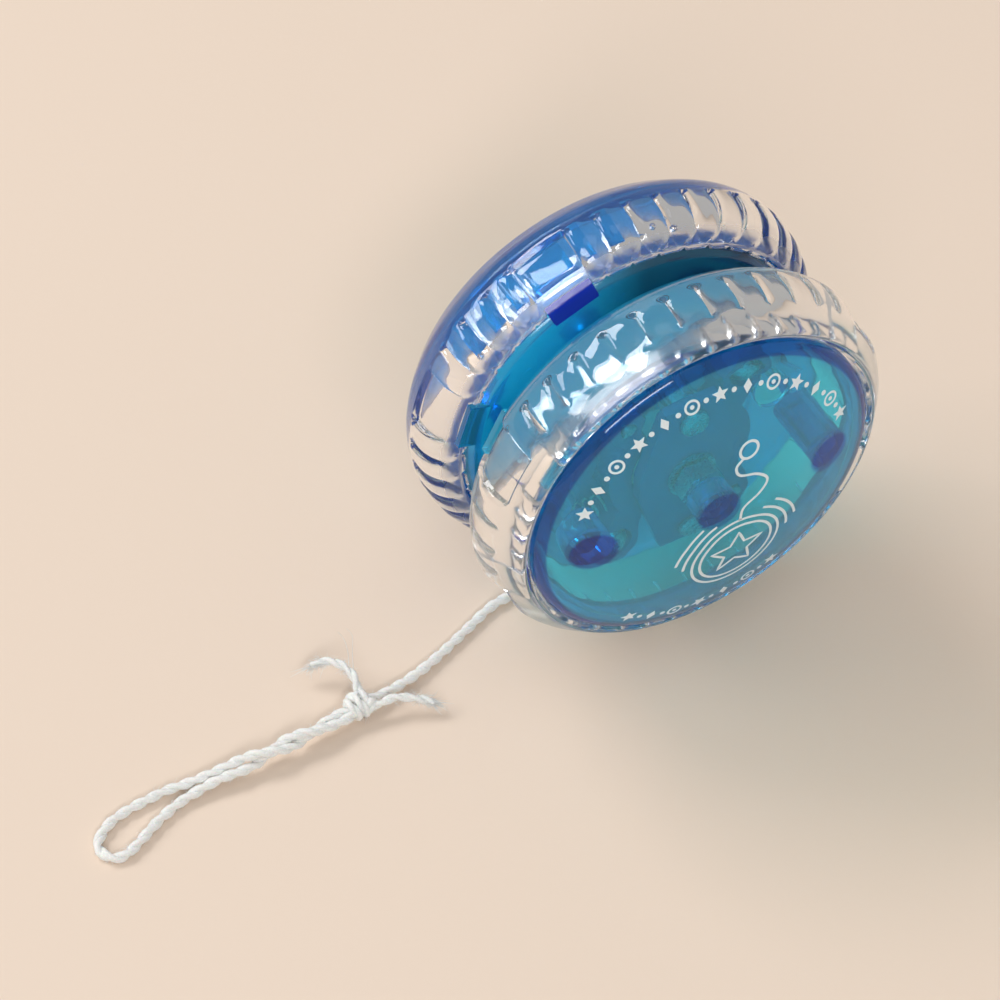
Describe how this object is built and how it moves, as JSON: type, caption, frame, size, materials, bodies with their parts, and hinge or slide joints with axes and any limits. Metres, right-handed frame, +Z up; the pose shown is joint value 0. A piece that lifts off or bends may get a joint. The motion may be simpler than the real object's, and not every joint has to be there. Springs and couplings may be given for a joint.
{
  "type": "yo yo",
  "caption": "Clutch yo-yo with clear fluted rims, translucent blue dished hubs and domed caps, a wound string on a free spindle, and a knotted finger loop.",
  "frame": {"origin": "on the table, straight under the middle of the axle", "axes": "+Z up; the axle lies along Y, with the clutch half on the -Y side; the string leaves towards -X"},
  "size_m": [0.1099, 0.038, 0.056],
  "materials": {
    "clear_rim_near": "clear polycarbonate, gloss",
    "clear_rim_far": "clear polycarbonate, gloss",
    "hub_dish_near": "translucent blue plastic, gloss",
    "hub_dish_far": "translucent blue plastic, gloss",
    "cap_near": "translucent blue plastic, gloss, with a white print",
    "cap_far": "translucent blue plastic, gloss, with a white print",
    "axle": "plated steel",
    "axle_washer_near": "plated steel",
    "axle_washer_far": "plated steel",
    "axle_nut_near": "plated steel",
    "axle_nut_far": "plated steel",
    "spindle_washer": "plated steel",
    "spindle": "white acetal, satin",
    "clutch_bridge": "translucent blue plastic",
    "bridge_screw_1": "plated steel",
    "bridge_screw_2": "plated steel",
    "clutch_arm_1": "dark blue plastic",
    "clutch_arm_2": "dark blue plastic",
    "arm_pin_1": "plated steel",
    "arm_pin_2": "plated steel",
    "arm_ball_1": "polished steel ball",
    "arm_ball_2": "polished steel ball",
    "arm_spring_1": "spring wire",
    "arm_spring_2": "spring wire",
    "string_winding": "white twisted cotton, wound",
    "string_free": "white twisted cotton",
    "string_knot": "white twisted cotton, knotted",
    "finger_loop": "white twisted cotton",
    "string_tail_1": "white twisted cotton, frayed end",
    "string_tail_2": "white twisted cotton, frayed end"
  },
  "bodies": {
    "spindle_and_string": {"spindle": "spindle", "string_winding": "string_winding", "string_free": "string_free", "string_knot": "string_knot", "finger_loop": "finger_loop", "string_tail_1": "string_tail_1", "string_tail_2": "string_tail_2"},
    "yoyo_body": {"clear_rim_near": "clear_rim_near", "clear_rim_far": "clear_rim_far", "hub_dish_near": "hub_dish_near", "hub_dish_far": "hub_dish_far", "cap_near": "cap_near", "cap_far": "cap_far", "axle": "axle", "axle_washer_near": "axle_washer_near", "axle_washer_far": "axle_washer_far", "axle_nut_near": "axle_nut_near", "axle_nut_far": "axle_nut_far", "spindle_washer": "spindle_washer", "clutch_bridge": "clutch_bridge", "bridge_screw_1": "bridge_screw_1", "bridge_screw_2": "bridge_screw_2", "arm_pin_1": "arm_pin_1", "arm_pin_2": "arm_pin_2", "arm_spring_1": "arm_spring_1", "arm_spring_2": "arm_spring_2"},
    "clutch_arm_1": {"clutch_arm_1": "clutch_arm_1", "arm_ball_1": "arm_ball_1"},
    "clutch_arm_2": {"clutch_arm_2": "clutch_arm_2", "arm_ball_2": "arm_ball_2"}
  },
  "joints": [
    {"name": "body_spin", "type": "hinge", "parent": "spindle_and_string", "child": "yoyo_body", "pos_m": [0, 0, 0.028], "axis": [0, 1, 0], "continuous": true},
    {"name": "arm_1_swing", "type": "hinge", "parent": "yoyo_body", "child": "clutch_arm_1", "pos_m": [-0.0078, -0.00665, 0.0379], "axis": [0, 1, 0], "range_deg": [0, 6], "stiffness_Nm_per_rad": 0.0225, "springref_deg": -8.59, "deforming": ["arm_spring_1"]},
    {"name": "arm_2_swing", "type": "hinge", "parent": "yoyo_body", "child": "clutch_arm_2", "pos_m": [0.0078, -0.00665, 0.0181], "axis": [0, 1, 0], "range_deg": [0, 6], "stiffness_Nm_per_rad": 0.0225, "springref_deg": -8.59, "deforming": ["arm_spring_2"]}
  ]
}
